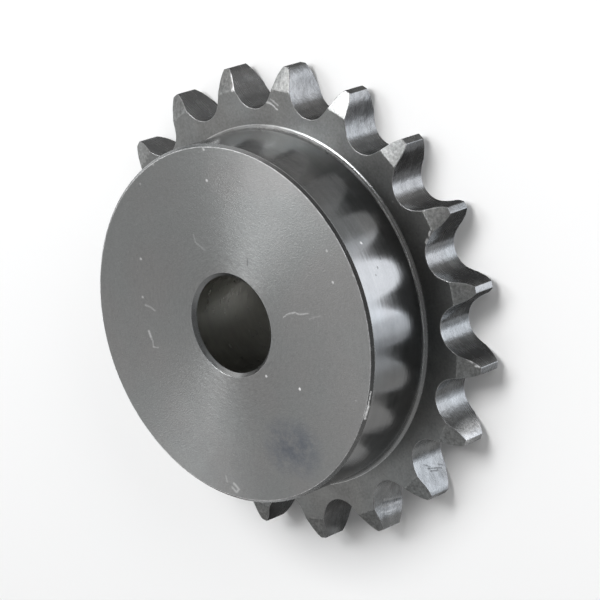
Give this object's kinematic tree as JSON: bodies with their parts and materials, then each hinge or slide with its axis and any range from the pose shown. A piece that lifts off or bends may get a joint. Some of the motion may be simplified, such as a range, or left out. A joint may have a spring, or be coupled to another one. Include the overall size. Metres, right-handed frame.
{
  "type": "chain sprocket",
  "caption": "Toothed steel wheel for roller chain, with a wide plain hub on one side and a chamfered bore through the middle.",
  "frame": {"origin": "centre of the tooth plate's flat back face, on the bore's axis, where the part rests", "axes": "+Z along the bore from the plate's back face to the hub's end face; +X through the middle of one tooth"},
  "size_m": [0.1249, 0.1252, 0.0318],
  "materials": {
    "turned_steel": "turned and milled bare steel, lightly oiled, semi-gloss"
  },
  "bodies": {
    "root": {"sprocket": "turned_steel"}
  },
  "joints": []
}
